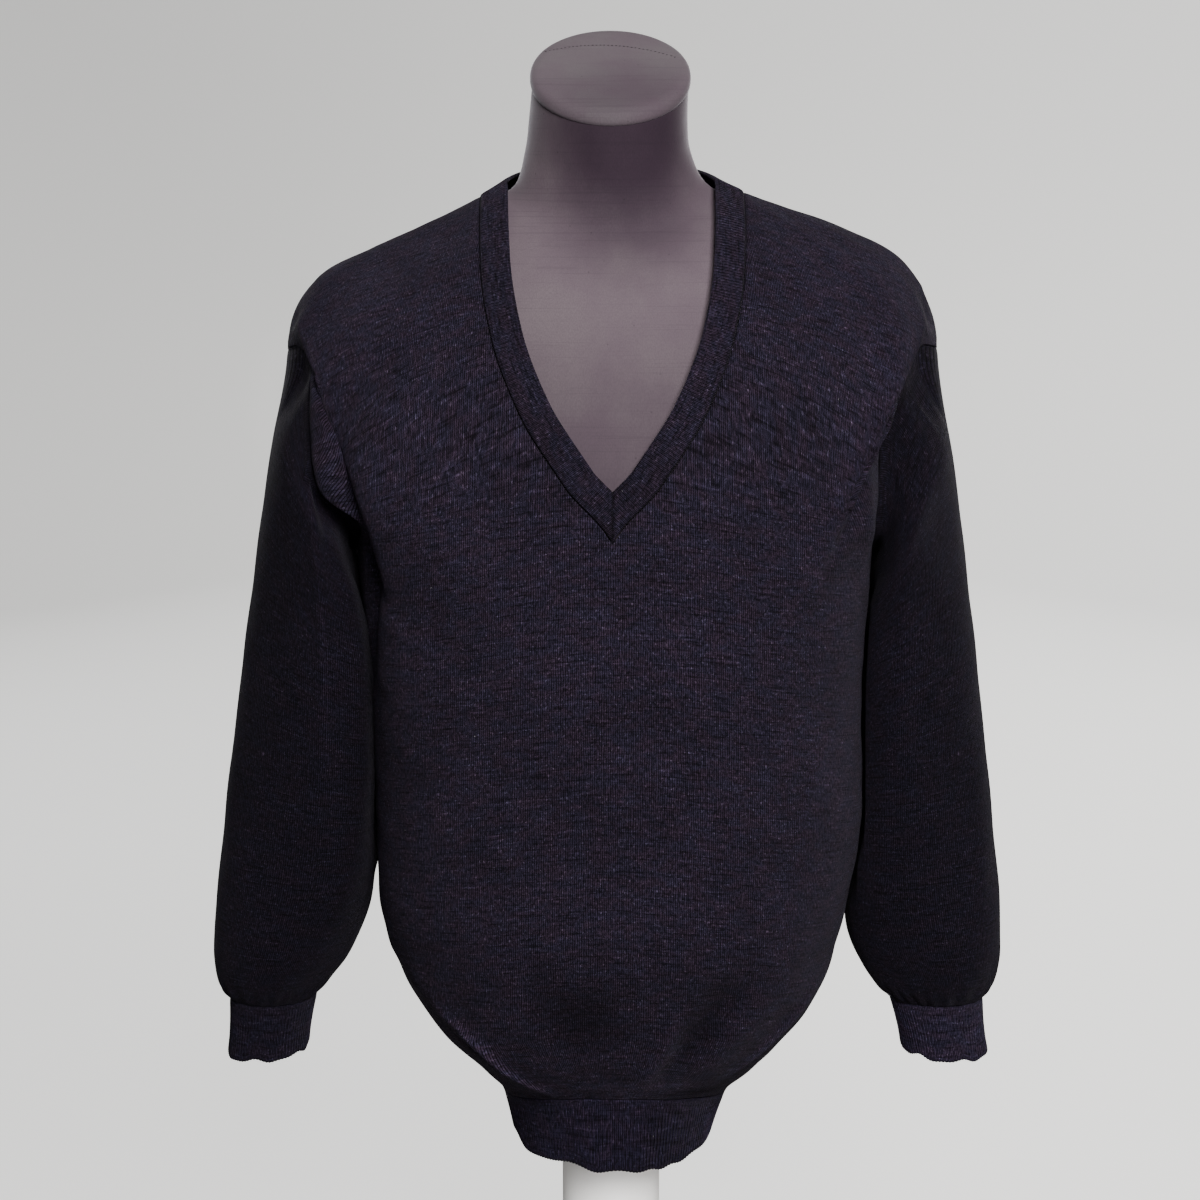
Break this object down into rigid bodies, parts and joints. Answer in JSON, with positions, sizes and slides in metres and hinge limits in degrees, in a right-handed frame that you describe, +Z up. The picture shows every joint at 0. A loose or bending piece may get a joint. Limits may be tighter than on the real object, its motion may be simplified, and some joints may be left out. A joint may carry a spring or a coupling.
{
  "type": "v-neck sweater on a dress form",
  "caption": "Fine-knit v-neck pullover with ribbed neckband, hem and cuffs, worn on a limbless dress form with a pole and round base.",
  "frame": {"origin": "middle of the base's underside, on the floor", "axes": "+Z up along the pole, -Y out of the garment's front, +X to the wearer's left"},
  "size_m": [0.5963, 0.32, 1.1314],
  "materials": {
    "knit": "fine melange jersey knit, matt",
    "rib": "fine one-by-one rib knit, matt",
    "jersey": "smooth stretched jersey cover",
    "pole": "satin white tube",
    "base": "satin white paint"
  },
  "bodies": {
    "root": {"front": "knit", "back": "knit", "sleeve_right": "knit", "sleeve_left": "knit", "neckband": "rib", "hem_rib": "rib", "cuff_right": "rib", "cuff_left": "rib", "form_torso": "jersey", "neck_cap": "jersey", "stand_pole": "pole", "stand_base": "base"}
  },
  "joints": []
}
